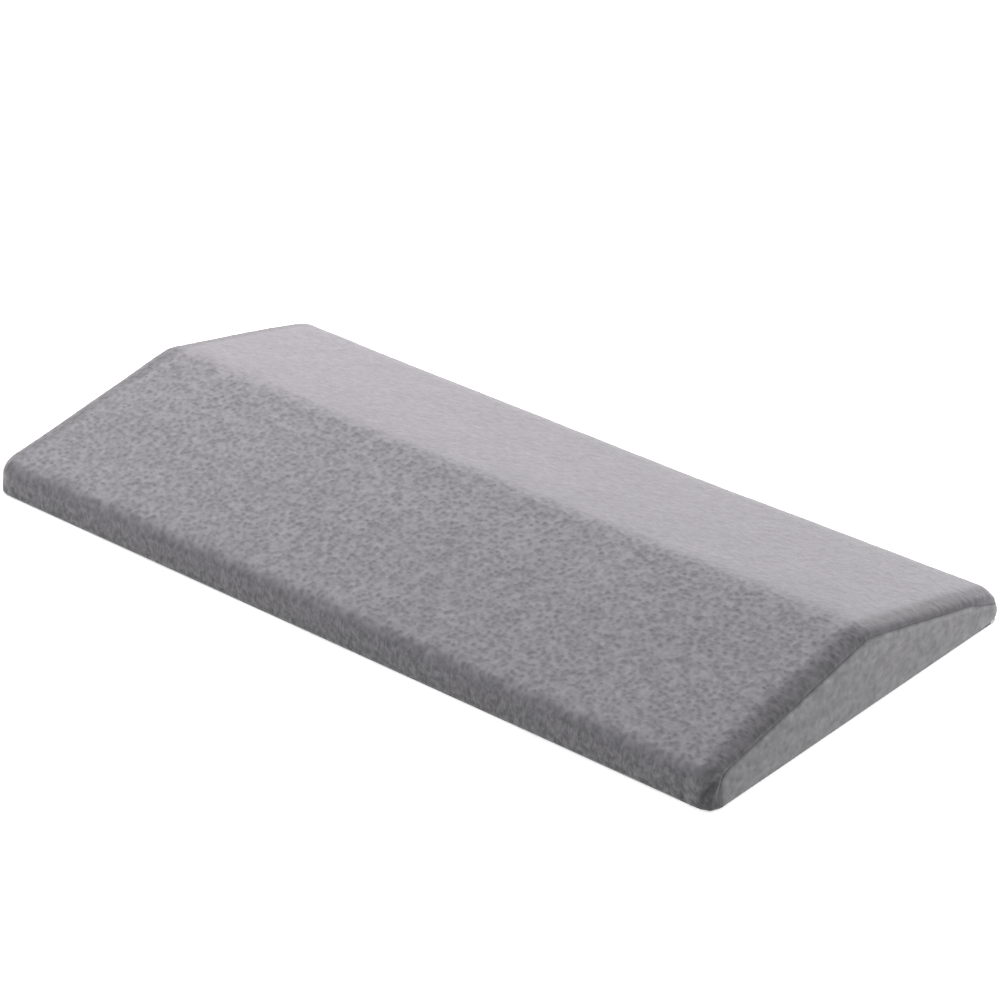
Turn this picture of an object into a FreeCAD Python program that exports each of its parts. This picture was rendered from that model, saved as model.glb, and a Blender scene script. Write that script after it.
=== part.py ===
"""Low foam wedge pad in a zip-off plush cover, as separate solids in one frame, in millimetres.

+X runs along the pad's length, +Y from its front edge to its back edge and +Z up.
The origin is the middle of the underside. Each solid is written to parts/NODE.step.
"""

import FreeCAD, Part

import math
import os

V = FreeCAD.Vector

# ---- driving dimensions -------------------------------------------------------------------
LENGTH = 610.0  # along X, at the underside
DEPTH = 294.0  # along Y
FRONT_HEIGHT = 24.5  # where the front slope meets the front face, before rounding
RIDGE_HEIGHT = 52.0  # where the two slopes meet, before rounding
BACK_HEIGHT = 20.0  # where the back slope meets the back face, before rounding
RIDGE_FROM_FRONT = 157.0
END_LEAN = 4.5  # how far each end face leans inward over the ridge's height
RIDGE_RADIUS = 26.0
CORNER_RADIUS = 11.0  # of the four upright corners
ROLL_RADIUS = 8.0  # of the cover's rolled upper edge

COVER = 1.8  # thickness of the plush fabric
LINER = 0.5  # thickness of the knitted liner
GAP = 0.1  # between layers that lie on each other
BACK_ROOM = 2.0  # behind the back face, for the zipper's tapes and slider
END_ROOM = 0.8  # behind the end panels, for the care label
LINER_SEAM = 288.0  # from the middle to the seam of the liner's end caps
LINER_SEAM_WIDTH = 0.4

SEAM_DROP = 5.0  # from the top surface down to the seam with the end panels
SEAM_FROM_FRONT = 8.2  # from the front face back to the upright part of that seam
SEAM_DIP = 34.0  # from the back face to where the seam leaves the slope
SEAM_LEVEL = 5.0  # from the back face to where it meets the zipper's upper lip
SEAM_TURN = 14.0  # radius where the seam turns, near the front and near the back
SEAM_WIDTH = 0.6  # gap between two panels, which the seam's thread fills
THREAD_WIDTH = 0.4
THREAD_OUT, THREAD_IN = 0.6, 1.3  # the seam thread's depth below the fabric's face

LABEL_GAP, LABEL_THICK = 0.2, 0.25
LABEL_WIDTH, LABEL_HEIGHT = 30.0, 9.0
LABEL_Y, LABEL_Z = 60.0, 4.0

ZIP_HALF = 268.0  # half the length of the zipper's opening
ZIP_Z = 8.6  # height of the zipper's centre line
LIP = 3.9  # from that line to the fabric lips above and below
TAPE = 0.5
TAPE_SPLIT = 0.7  # from the centre line to each tape's inner edge
TAPE_TOP, TAPE_BOTTOM = 15.5, 2.5
TAPE_TUCK = 6.0  # how far the tapes run on behind the end panels
COIL_PITCH = 1.6
COIL_REACH = 2.2  # from the centre line to the coil's outer side
COIL_ROOT = 1.0  # from the centre line to the root of the coil's loops
COIL_TIP = 0.6  # how far each loop passes the centre line
COIL_LOOP = 0.6  # a loop's width along the zipper
COIL_DEEP = 1.5

CHAIN_GAP = 0.4  # from the slider's post to the first loop
CHAIN_SHORT = 5.0  # from the last loop to the end of the opening
COIL_LEAD = 0.2  # from the start of the coil to its first loop

SLIDER_FROM_END = 6.0  # from the end of the opening to the closed slider
SLIDER_LENGTH = 9.0
SLIDER_HALF = 3.6
FLANGE_INNER = 2.6  # from the centre line to the inner side of the slider's flanges
FLANGE_LEAD, FLANGE_TRAIL = 1.5, 1.2  # from the slider's ends to the flanges' ends
SLIDE_GAP = 0.15  # between the slider's plates and what they run along
PLATE = 1.0
PLATE_CORNER = 1.2
POST = 0.9
POST_FROM_END, POST_LENGTH = 0.8, 2.0
PIVOT_FROM_END = 4.6  # from the slider's leading end to the pull tab's bar
PIVOT_RADIUS = 0.45
BRIDGE_WIDTH = 2.2
ARCH_GAP = 0.15  # between the bar and the arch over it
ARCH_ROOM = 0.25  # between the bar and the arch's feet
ARCH_FOOT = 1.2
ARCH_TOP = 0.8
PULL_LENGTH = 19.0
PULL_WIDTH = 5.6
PULL_EYE = 3.0
PULL_CORNER = 1.6
EYE_GAP = 0.5
GRIP_RADIUS, GRIP_FROM_END = 1.1, 3.4

STOP_LENGTH = 2.6
STOP_GAP = 0.3
STOP_BEHIND = 0.8  # how far a stop reaches behind the tapes
STOP_INNER = 0.2  # from the centre line to a top stop's inner side

STITCH_PITCH, STITCH_LENGTH, STITCH_THICK = 3.6, 2.8, 0.35
STITCH_FROM_LIP = 1.4
STITCH_LIFT = 0.05
TACK_FROM_END, TACK_WIDTH = 1.2, 1.4
TACK_MARGIN = 0.5

# ---- for picking out edges and faces ------------------------------------------------------
SAME = 0.01  # lengths and places closer than this count as the same
UPRIGHT_LEAST = 5.0  # shortest upright corner edge that gets the wedge's corner radius
FACING_UP = 0.5  # least upward part of a sloping top face's normal
SIDEWAYS = 0.3  # most upward or downward part of a side face's normal
ZONE = 20.0  # how far in from the back face the zipper's tapes are looked for

# ---- places worked out from them ----------------------------------------------------------
FRONT, BACK = -DEPTH / 2, DEPTH / 2
END = LENGTH / 2
RIDGE_Y = FRONT + RIDGE_FROM_FRONT
LIP_TOP, LIP_BOTTOM = ZIP_Z + LIP, ZIP_Z - LIP
SEAM_DIP_Y = BACK - SEAM_DIP
SEAM_LEVEL_Y = BACK - SEAM_LEVEL
TAPE_FACE = BACK - COVER - GAP  # the tapes' outer face
TAPE_BACK = TAPE_FACE - TAPE
COIL_FACE = TAPE_FACE + GAP + COIL_DEEP
PLATE_Y = COIL_FACE + SLIDE_GAP  # inner face of the slider's front plate
PIVOT_Y = PLATE_Y + PLATE + SLIDE_GAP + PIVOT_RADIUS
SLIDER_X = -ZIP_HALF + SLIDER_FROM_END  # the closed slider's leading end
PIVOT_X = SLIDER_X + PIVOT_FROM_END
CHAIN_START = SLIDER_X + POST_FROM_END + POST_LENGTH + CHAIN_GAP
CHAIN_END = ZIP_HALF - CHAIN_SHORT
FAR = 400.0  # beyond every part of the pad


# ---- shared shapes ------------------------------------------------------------------------
def box(x0, x1, y0, y1, z0, z1):
    """A box between two corners."""
    return Part.makeBox(x1 - x0, y1 - y0, z1 - z0, V(x0, y0, z0))


def crossing(a, b):
    """Where two lines in the YZ plane meet; each is (point, direction)."""
    (ay, az), (au, aw) = a
    (by, bz), (bu, bw) = b
    t = ((by - ay) * bw - (bz - az) * bu) / (au * bw - aw * bu)
    return ay + t * au, az + t * aw


def shifted(line, distance):
    """A line moved to its left by a distance."""
    (y, z), (u, w) = line
    size = math.hypot(u, w)
    return (y - w / size * distance, z + u / size * distance), (u, w)


def section_lines(inset, back_extra):
    """The pad's five section lines, moved inward; they run anticlockwise, seen along -X."""
    ridge = (RIDGE_Y, RIDGE_HEIGHT)
    front_slope = (ridge, (FRONT - RIDGE_Y, FRONT_HEIGHT - RIDGE_HEIGHT))
    back_slope = ((BACK, BACK_HEIGHT), (RIDGE_Y - BACK, RIDGE_HEIGHT - BACK_HEIGHT))
    bottom = ((FRONT, 0.0), (1.0, 0.0))
    back = ((BACK, 0.0), (0.0, 1.0))
    front = ((FRONT, FRONT_HEIGHT), (0.0, -1.0))
    moves = [(bottom, inset), (back, inset + back_extra), (back_slope, inset)]
    moves += [(front_slope, inset), (front, inset)]
    return [shifted(line, distance) for line, distance in moves]


def rounded_section(corners, rounded, radius):
    """A closed YZ wire through the corners, with a tangent arc at one of them."""
    points = [V(0, y, z) for y, z in corners]
    edges, start = [], None
    for i, p in enumerate(points):
        before, after = points[i - 1], points[(i + 1) % len(points)]
        if i != rounded:
            first, last = p, p
        else:
            a, b = (before - p).normalize(), (after - p).normalize()
            half = a.getAngle(b) / 2
            first = p + a * (radius / math.tan(half))
            last = p + b * (radius / math.tan(half))
            middle = p + (a + b).normalize() * (radius / math.sin(half) - radius)
        if start is not None:
            edges.append(Part.makeLine(previous, first))
        else:
            start = first
        if i == rounded:
            edges.append(Part.Arc(first, middle, last).toShape())
        previous = last
    edges.append(Part.makeLine(previous, start))
    return Part.Wire(edges)


def is_upright(edge):
    a, b = edge.Vertexes[0].Point, edge.Vertexes[-1].Point
    return abs(a.y - b.y) < SAME and abs(a.z - b.z) > UPRIGHT_LEAST


def roll_edges(solid):
    """The edges between the sloping top faces and the upright side faces."""
    found = []
    for edge in solid.Edges:
        tilts = []
        for face in solid.ancestorsOfType(edge, Part.Face):
            u0, u1, v0, v1 = face.ParameterRange
            tilts.append(face.normalAt((u0 + u1) / 2, (v0 + v1) / 2).z)
        if len(tilts) == 2 and max(tilts) > FACING_UP and abs(min(tilts)) < SIDEWAYS:
            found.append(edge)
    return found


def wedge(inset=0.0, back_extra=0.0, end_extra=0.0):
    """The pad's solid shape, moved inward all round, with more at the back or the ends."""
    lines = section_lines(inset, back_extra)
    corners = [crossing(lines[i - 1], lines[i]) for i in range(len(lines))]
    section = rounded_section(corners, 3, RIDGE_RADIUS - inset)
    bar = Part.Face(section).extrude(V(LENGTH, 0, 0))
    bar.translate(V(-END, 0, 0))
    foot, lean = END - inset - end_extra, END_LEAN / RIDGE_HEIGHT
    height = 2 * RIDGE_HEIGHT
    ends = [V(-foot, -FAR, 0), V(foot, -FAR, 0)]
    ends += [V(foot - lean * height, -FAR, height), V(-foot + lean * height, -FAR, height)]
    ends.append(ends[0])
    solid = bar.common(Part.Face(Part.makePolygon(ends)).extrude(V(0, 2 * FAR, 0)))
    solid = solid.Solids[0]
    solid = solid.makeFillet(CORNER_RADIUS - inset, [e for e in solid.Edges if is_upright(e)])
    return solid.makeFillet(ROLL_RADIUS - inset, roll_edges(solid))


# ---- the cover's panels -------------------------------------------------------------------
def top_height(y):
    """Height of the unrounded top surface at a distance along Y."""
    if y < RIDGE_Y:
        return RIDGE_HEIGHT - (RIDGE_Y - y) * (RIDGE_HEIGHT - FRONT_HEIGHT) / RIDGE_FROM_FRONT
    return RIDGE_HEIGHT - (y - RIDGE_Y) * (RIDGE_HEIGHT - BACK_HEIGHT) / (BACK - RIDGE_Y)


def seam_area(inset, x0):
    """The block behind an end panel: a YZ outline below the seam, from x0 outward to the right."""
    upright = FRONT + SEAM_FROM_FRONT
    points = [(upright, -FAR), (upright, top_height(upright) - SEAM_DROP)]
    points += [(RIDGE_Y, RIDGE_HEIGHT - SEAM_DROP), (SEAM_DIP_Y, top_height(SEAM_DIP_Y) - SEAM_DROP)]
    points += [(SEAM_LEVEL_Y, LIP_TOP), (FAR, LIP_TOP), (FAR, -FAR)]
    wire = Part.makePolygon([V(x0, y, z) for y, z in points + points[:1]])
    block = Part.Face(wire).extrude(V(FAR, 0, 0))
    radii = {1: SEAM_TURN, 2: RIDGE_RADIUS, 4: SEAM_TURN}
    for i, radius in radii.items():
        y, z = points[i]
        near = [e for e in block.Edges if runs_through(e, y, z)]
        block = block.makeFillet(radius, near)
    face = [f for f in block.Faces if abs(f.CenterOfMass.x - x0) < SAME][0]
    outline = face.OuterWire if inset == 0 else face.OuterWire.makeOffset2D(-inset)
    return Part.Face(outline).extrude(V(FAR, 0, 0))


def runs_through(edge, y, z):
    """Whether an edge runs along X through a point of the YZ plane."""
    ends = [v.Point for v in edge.Vertexes]
    return all(abs(p.y - y) < SAME and abs(p.z - z) < SAME for p in ends)


def mirrored(shape):
    return shape.mirror(V(0, 0, 0), V(1, 0, 0))


def both_ends(shape):
    return [shape, mirrored(shape)]


def layer(outer, inner):
    """The skin between two insets of the pad's shape."""
    return wedge(outer).cut(wedge(inner))


def above(shape, z):
    return shape.common(box(-FAR, FAR, -FAR, FAR, z, FAR))


def cover():
    """The five panels of the plush cover."""
    skin = above(layer(0, COVER), COVER + SEAM_WIDTH)
    opening = box(-ZIP_HALF, ZIP_HALF, 0, FAR, 0, LIP_TOP)
    top = skin.cut(opening)
    for block in both_ends(seam_area(0, ZIP_HALF)):
        top = top.cut(block)
    end = skin.common(seam_area(SEAM_WIDTH, ZIP_HALF))
    reach = ZIP_HALF - SEAM_WIDTH
    strip = box(-reach, reach, 0, FAR, 0, LIP_BOTTOM)
    floor = wedge().common(box(-FAR, FAR, -FAR, FAR, -FAR, COVER))
    return {
        "cover_top_panel": top,
        "cover_end_panel_right": end,
        "cover_end_panel_left": mirrored(end),
        "cover_back_strip": skin.common(strip),
        "cover_bottom_panel": floor,
    }


def seam_threads():
    """The threads in the gaps between the cover's panels."""
    slack = (SEAM_WIDTH - THREAD_WIDTH) / 2
    band = layer(THREAD_OUT, THREAD_IN)
    line = seam_area(slack, ZIP_HALF + 1).cut(seam_area(SEAM_WIDTH - slack, ZIP_HALF - 1))
    end = above(band, COVER + SEAM_WIDTH).common(line)
    z0 = COVER + slack
    floor = band.common(box(-FAR, FAR, -FAR, FAR, z0, z0 + THREAD_WIDTH))
    return {
        "seam_thread_end_right": end,
        "seam_thread_end_left": mirrored(end),
        "seam_thread_bottom": floor,
    }


# ---- the filling --------------------------------------------------------------------------
def filling():
    """The foam core and the knitted liner sewn round it."""
    outside = COVER + GAP
    inside = outside + LINER
    liner = wedge(outside, BACK_ROOM, END_ROOM).cut(wedge(inside, BACK_ROOM, END_ROOM))
    wrap = liner.common(box(-LINER_SEAM, LINER_SEAM, -FAR, FAR, 0, FAR))
    end = liner.common(box(LINER_SEAM + LINER_SEAM_WIDTH, FAR, -FAR, FAR, 0, FAR))
    slack = LINER_SEAM_WIDTH / 4
    x0 = LINER_SEAM + slack
    thread = liner.common(box(x0, x0 + 2 * slack, -FAR, FAR, 0, FAR))
    return {
        "foam_core": wedge(inside + GAP, BACK_ROOM, END_ROOM),
        "liner_wrap": wrap,
        "liner_end_right": end,
        "liner_end_left": mirrored(end),
        "liner_thread_right": thread,
        "liner_thread_left": mirrored(thread),
    }


def care_label():
    """A blank label sewn inside the right end panel."""
    outside = COVER + LABEL_GAP
    sheet = layer(outside, outside + LABEL_THICK)
    y0, z0 = LABEL_Y, LABEL_Z
    return sheet.common(box(ZIP_HALF, FAR, y0, y0 + LABEL_WIDTH, z0, z0 + LABEL_HEIGHT))


# ---- the zipper ---------------------------------------------------------------------------
def tapes():
    sheet = layer(COVER + GAP, COVER + GAP + TAPE)
    reach = ZIP_HALF + TAPE_TUCK
    upper = box(-reach, reach, BACK - ZONE, FAR, ZIP_Z + TAPE_SPLIT, TAPE_TOP)
    lower = box(-reach, reach, BACK - ZONE, FAR, TAPE_BOTTOM, ZIP_Z - TAPE_SPLIT)
    return {
        "zipper_tape_upper": sheet.common(upper),
        "zipper_tape_lower": sheet.common(lower),
    }


def coil(side, lead):
    """One row of loops, joined along their root; side is +1 for the upper row."""
    y0 = TAPE_FACE + GAP
    outline = [V(CHAIN_START, y0, ZIP_Z + side * COIL_REACH)]
    root, tip = ZIP_Z + side * COIL_ROOT, ZIP_Z - side * COIL_TIP
    outline.append(V(CHAIN_START, y0, root))
    x = CHAIN_START + lead
    while x + COIL_LOOP < CHAIN_END:
        outline += [V(x, y0, root), V(x, y0, tip)]
        outline += [V(x + COIL_LOOP, y0, tip), V(x + COIL_LOOP, y0, root)]
        x += COIL_PITCH
    outline += [V(CHAIN_END, y0, root), V(CHAIN_END, y0, ZIP_Z + side * COIL_REACH)]
    wire = Part.makePolygon(outline + outline[:1])
    return Part.Face(wire).extrude(V(0, COIL_DEEP, 0))


def clip(x0, z0, z1):
    """A stop pressed round the tapes' edges: a block with the tapes' room cut out of it."""
    block = box(x0, x0 + STOP_LENGTH, TAPE_BACK - STOP_BEHIND, COIL_FACE, z0, z1)
    y0, y1 = TAPE_BACK - GAP, TAPE_FACE + GAP
    split = TAPE_SPLIT - GAP
    upper = box(-FAR, FAR, y0, y1, ZIP_Z + split, FAR)
    lower = box(-FAR, FAR, y0, y1, -FAR, ZIP_Z - split)
    return block.cut(upper).cut(lower)


def stops():
    """Two top stops, one on each tape, and the bottom stop across both."""
    x0 = SLIDER_X - STOP_GAP - STOP_LENGTH
    low, high = ZIP_Z - COIL_REACH, ZIP_Z + COIL_REACH
    return {
        "zipper_top_stop_upper": clip(x0, ZIP_Z + STOP_INNER, high),
        "zipper_top_stop_lower": clip(x0, low, ZIP_Z - STOP_INNER),
        "zipper_bottom_stop": clip(CHAIN_END + STOP_GAP, low, high),
    }


def stitch_row(z):
    """A row of short stitches lying on the back face at one height."""
    y0 = BACK + STITCH_LIFT
    row = []
    x = -ZIP_HALF + STITCH_PITCH
    while x + STITCH_LENGTH < ZIP_HALF - STITCH_PITCH / 2:
        row.append(box(x, x + STITCH_LENGTH, y0, y0 + STITCH_THICK, z, z + STITCH_THICK))
        x += STITCH_PITCH
    return Part.makeCompound(row)


def bar_tack():
    """The close thread bar across the right end of the zipper."""
    y0 = BACK + STITCH_LIFT
    x0 = ZIP_HALF + TACK_FROM_END
    z0, z1 = LIP_BOTTOM - TACK_MARGIN, LIP_TOP - SEAM_WIDTH - TACK_MARGIN
    return box(x0, x0 + TACK_WIDTH, y0, y0 + STITCH_THICK, z0, z1)


def slider_body():
    """Front and back plates joined by a post, with side flanges and an arched bridge."""
    x0, x1 = SLIDER_X, SLIDER_X + SLIDER_LENGTH
    z0, z1 = ZIP_Z - SLIDER_HALF, ZIP_Z + SLIDER_HALF
    behind = TAPE_BACK - SLIDE_GAP
    front = box(x0, x1, PLATE_Y, PLATE_Y + PLATE, z0, z1)
    back = box(x0, x1, behind - PLATE, behind, z0, z1)
    rounded = [shape.makeFillet(PLATE_CORNER, thin_edges(shape)) for shape in (front, back)]
    y0, y1 = behind - PLATE / 2, PLATE_Y + PLATE / 2
    post_x, half = x0 + POST_FROM_END, POST / 2
    post = box(post_x, post_x + POST_LENGTH, y0, y1, ZIP_Z - half, ZIP_Z + half)
    body = rounded[0].fuse(rounded[1]).fuse(post)
    f0, f1, top = x0 + FLANGE_LEAD, x1 - FLANGE_TRAIL, PLATE_Y + PLATE / 2
    thick = SLIDER_HALF - FLANGE_INNER
    for z in (z0, z1 - thick):
        body = body.fuse(box(f0, f1, TAPE_FACE + SLIDE_GAP, top, z, z + thick))
    return body.fuse(bridge()).removeSplitter()


def thin_edges(plate):
    """A plate's four corner edges, which run through its thickness."""
    return [e for e in plate.Edges if abs(e.Length - PLATE) < SAME]


def bridge():
    """The arch over the front plate that holds the pull tab's bar."""
    y0, y1 = PLATE_Y + PLATE / 2, PIVOT_Y + PIVOT_RADIUS + ARCH_GAP
    z0, z1 = ZIP_Z - BRIDGE_WIDTH / 2, ZIP_Z + BRIDGE_WIDTH / 2
    half = PIVOT_RADIUS + ARCH_ROOM
    x0, x1 = PIVOT_X - half - ARCH_FOOT, PIVOT_X + half + ARCH_FOOT
    arch = box(x0, x1, y0, y1 + ARCH_TOP, z0, z1)
    top = [e for e in arch.Edges if is_arch_shoulder(e, y1 + ARCH_TOP)]
    arch = arch.makeFillet(ARCH_TOP, top)
    return arch.cut(box(PIVOT_X - half, PIVOT_X + half, PLATE_Y + PLATE, y1, z0, z1))


def is_arch_shoulder(edge, y):
    ends = [v.Point for v in edge.Vertexes]
    along_z = abs(ends[0].z - ends[1].z) > SAME
    return along_z and all(abs(p.y - y) < SAME for p in ends)


def pull_tab():
    """A flat tab with a round bar at its eye, lying flat over the chain."""
    y0, y1 = PIVOT_Y - PIVOT_RADIUS, PIVOT_Y + PIVOT_RADIUS
    half = PULL_WIDTH / 2
    x1 = PIVOT_X + PULL_LENGTH
    plate = box(PIVOT_X, x1, y0, y1, ZIP_Z - half, ZIP_Z + half)
    ends = [e for e in plate.Edges if abs(e.Length - 2 * PIVOT_RADIUS) < SAME]
    far = [e for e in ends if abs(e.Vertexes[0].Point.x - x1) < SAME]
    plate = plate.makeFillet(PULL_CORNER, far)
    eye = PULL_EYE / 2
    hole_x = PIVOT_X + PIVOT_RADIUS + ARCH_ROOM + ARCH_FOOT + EYE_GAP
    plate = plate.cut(box(PIVOT_X, hole_x, y0, y1, ZIP_Z - eye, ZIP_Z + eye))
    grip = Part.makeCylinder(GRIP_RADIUS, y1 - y0, V(x1 - GRIP_FROM_END, y0, ZIP_Z), V(0, 1, 0))
    bar = Part.makeCylinder(PIVOT_RADIUS, PULL_WIDTH, V(PIVOT_X, PIVOT_Y, ZIP_Z - half), V(0, 0, 1))
    return plate.cut(grip).fuse(bar).removeSplitter()


# ---- everything ---------------------------------------------------------------------------
def solids():
    nodes = filling()
    nodes["care_label"] = care_label()
    nodes.update(cover())
    nodes.update(seam_threads())
    nodes.update(tapes())
    nodes["zipper_coil_upper"] = coil(1, COIL_LEAD)
    nodes["zipper_coil_lower"] = coil(-1, COIL_LEAD + COIL_PITCH / 2)
    nodes.update(stops())
    nodes["topstitch_upper"] = stitch_row(LIP_TOP + STITCH_FROM_LIP)
    nodes["topstitch_lower"] = stitch_row(LIP_BOTTOM - STITCH_FROM_LIP)
    nodes["bar_tack_right"] = bar_tack()
    nodes["bar_tack_left"] = mirrored(bar_tack())
    nodes["slider_body"] = slider_body()
    nodes["pull_tab"] = pull_tab()
    return nodes


os.makedirs("parts", exist_ok=True)
for name, shape in solids().items():
    shape.exportStep("parts/" + name + ".step")
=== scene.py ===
"""Visual model of a foam wedge pad in a plush zip-off cover, built around its CAD frame."""

import bmesh
import bpy
import math
import numpy as np
from mathutils import Matrix, Vector


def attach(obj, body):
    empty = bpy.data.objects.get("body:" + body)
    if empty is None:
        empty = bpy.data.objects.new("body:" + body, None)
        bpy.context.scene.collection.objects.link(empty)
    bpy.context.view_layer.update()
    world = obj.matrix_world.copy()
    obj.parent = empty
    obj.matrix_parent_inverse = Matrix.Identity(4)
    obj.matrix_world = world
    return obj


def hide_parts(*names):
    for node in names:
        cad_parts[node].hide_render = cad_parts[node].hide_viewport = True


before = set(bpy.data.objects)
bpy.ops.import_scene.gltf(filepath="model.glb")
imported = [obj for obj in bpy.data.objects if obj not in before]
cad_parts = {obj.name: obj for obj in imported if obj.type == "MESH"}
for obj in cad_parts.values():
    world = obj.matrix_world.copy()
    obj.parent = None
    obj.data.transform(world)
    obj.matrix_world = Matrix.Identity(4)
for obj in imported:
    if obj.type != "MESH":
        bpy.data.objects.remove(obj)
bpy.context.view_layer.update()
scene = bpy.context.scene

MM = 0.001
MIRROR = [-1, 1, 1]

# ---- sizes, in millimetres ----
END, FRONT, BACK = 305.0, -147.0, 147.0
CORNER = 11.0  # radius of the upright corners
FRONT_Z, RIDGE_Y, RIDGE_Z, BACK_Z = 24.5, 10.0, 52.0, 20.0
LEAN = 4.5 / RIDGE_Z  # how far the end faces lean in, per unit of height
SEAM_DROP = 5.0  # from the top surface down to the end seams
SEAM_Y = -138.7  # the upright part of the end seam
LIP_TOP, LIP_LOW = 12.5, 4.7  # the cloth's edges above and below the zipper
FOOT = 1.3  # height of the walls' lower edge
SAG = 2.4  # how far the ridge and back edge dip halfway along
LINER_SEAM, BACK_ROOM = 288.0, 2.0  # the liner's end seams; the filling's room behind the zipper
FILLING_RING, END_MIDDLE = 168, (8.0, 21.0)  # points round the filling; where its ends close
ZIP_Z, ZIP_HALF, TAPE_HALF, TAPE_Y = 8.6, 268.0, 273.8, 144.98
COIL_START, COIL_STOP, COIL_PITCH, COIL_Y = -258.7, 262.7, 1.6, 145.95
TOP_STOP_X, BOTTOM_STOP_X, STOP_LENGTH = -264.9, 263.3, 2.6
SLIDER_X, PIVOT_X = -262.0, -257.4
STITCH, SEAM_STITCH = 3.6, 0.9  # length of a topstitch; spacing of points along a seam's thread

# ---- mesh and simulation ----
CELL = 1.5  # size of a mesh cell on the plush, in millimetres
COARSE = 4  # cells of the outer face to each cell of the inner face
SIM_STRIDE, SIM_FRAMES, SIM_CAP = 4, 20, 0.9  # the simulation's cells, frames and largest move
SIM_HOLD, SIM_GROWTH, SIM_PRESSURE = 0.15, 0.0003, 4.0

# ---- looks ----
FRONT_PAINTED_SHADE = 0.84  # how much darker the front face is painted, as painted shade
PILE_LIE = 2.44  # direction in which the pile lies on the top, in radians
TIPS = 0.16  # how much paler the pile's tips are between its openings
CAMERA_TURN = (-0.7239, 0.5034, -0.0138)  # yaw, pitch and roll
CAMERA_PLACE, SENSOR, LENS = (1.4546, -1.6287, 1.2419), 36.0, 36.0 * 3.8665
WORLD_LIGHT, FLOOR_GLOW, FLOOR_HALF = 0.55, 0.62, 8.0
LIGHTS = [  # name, place, aim, side in metres, watts, colour
    ("key", (-1.30, 1.40, 1.05), (0, 0, 0), 1.0, 43.0, (1.0, 0.950, 0.975)),
    ("rim", (0.75, 0.45, 0.20), (0.28, 0.08, 0.02), 0.3, 1.5, (1, 1, 1)),
    ("left", (-0.70, -0.15, 0.85), (-0.25, -0.07, 0), 0.4, 3.3, (1, 1, 1)),
]


# ---- curves ----
def unit(v):
    return v / np.maximum(np.linalg.norm(v, axis=-1, keepdims=True), 1e-12)


def rounded_path(points, radii, closed=False, arc_steps=24):
    """Dense points along a polyline whose corners are arcs."""
    points = np.array(points, float)
    n = len(points)
    out = [] if closed else [points[:1]]
    for i in range(n) if closed else range(1, n - 1):
        p, radius = points[i], radii[i if closed else i - 1]
        a, b = unit(points[i - 1] - p), unit(points[(i + 1) % n] - p)
        half = math.acos(float(np.clip(a @ b, -1, 1))) / 2
        centre = p + unit(a + b) * radius / math.sin(half)
        first, last = p + a * radius / math.tan(half), p + b * radius / math.tan(half)
        turn = math.pi - 2 * half
        k = np.linspace(0, 1, arc_steps)[:, None]
        arc = (np.sin((1 - k) * turn) * (first - centre) + np.sin(k * turn) * (last - centre)) / math.sin(turn)
        out.append(centre + arc)
    out.append(out[0][:1] if closed else points[-1:])
    return np.concatenate(out)


def rounded_loop(points, radii, arc_steps=4, at=(0, 0)):
    """A closed polygon with rounded corners; one radius serves all of them."""
    radii = np.broadcast_to(radii, len(points))
    return rounded_path(np.array(points, float) + at, radii, True, arc_steps)[:-1]


def mirrored(half):
    """A symmetric outline from its half below the first axis."""
    return half + [(a, -b) for a, b in half[::-1]]


def lengths(path):
    return np.concatenate([[0], np.cumsum(np.linalg.norm(np.diff(path, axis=0), axis=1))])


def span(path):
    return lengths(path)[-1]


def at_length(path, s):
    """Points of a path at distances along it."""
    total = lengths(path)
    return np.stack([np.interp(s, total, path[:, i]) for i in range(path.shape[1])], -1)


def length_at(path, column, value):
    """Distance along a path where one coordinate first reaches a value."""
    s = np.linspace(0, span(path), 20001)
    v = at_length(path, s)[:, column] - value
    return s[np.nonzero(v[:-1] * v[1:] <= 0)[0][0]]


def step(x, low, high):
    """0 below low, 1 above high, smooth between."""
    t = np.clip((x - low) / (high - low), 0, 1)
    return t * t * (3 - 2 * t)


def nearest(path, point):
    """Distance along a path to where it comes closest to a point."""
    s = np.linspace(0, span(path), 8001)
    return s[np.argmin(np.linalg.norm(at_length(path, s) - point, axis=1))]


def monotone(x, knots_x, knots_y):
    """Smooth monotone interpolation through knots."""
    kx, ky = np.array(knots_x, float), np.array(knots_y, float)
    h, d = np.diff(kx), np.diff(ky) / np.diff(kx)
    a, b = d[:-1], d[1:]
    m = np.concatenate([d[:1], np.where(a * b > 0, 2 * a * b / (a + b + 1e-12), 0), d[-1:]])
    i = np.clip(np.searchsorted(kx, x) - 1, 0, len(h) - 1)
    t = (x - kx[i]) / h[i]
    return (ky[i] * (1 + 2 * t) * (1 - t) ** 2 + m[i] * h[i] * t * (1 - t) ** 2
            + ky[i + 1] * t * t * (3 - 2 * t) + m[i + 1] * h[i] * t * t * (t - 1))


def spread(length, fine, coarse, reach):
    """Positions from 0 to a length, fine near 0 and growing to the coarse step."""
    steps, x = [0.0], 0.0
    while x < length:
        x += fine + (coarse - fine) * min(1.0, x / reach)
        steps.append(x)
    steps = np.array(steps)
    return steps * length / steps[-1]


def seam_z(y):
    """Height of the unrounded end seam on the slopes."""
    return np.interp(y, [FRONT, RIDGE_Y, BACK], [FRONT_Z, RIDGE_Z, BACK_Z]) - SEAM_DROP


PROFILE = rounded_path([(FRONT, FOOT), (FRONT, FRONT_Z), (RIDGE_Y, RIDGE_Z), (BACK, BACK_Z), (BACK, LIP_TOP)],
                       [9.0, 34.0, 8.5])
SEAM = rounded_path([(SEAM_Y, FOOT), *((y, seam_z(y)) for y in (SEAM_Y, RIDGE_Y, 113.0)), (142.0, LIP_TOP)],
                    [14.0, 26.0, 60.0])


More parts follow.
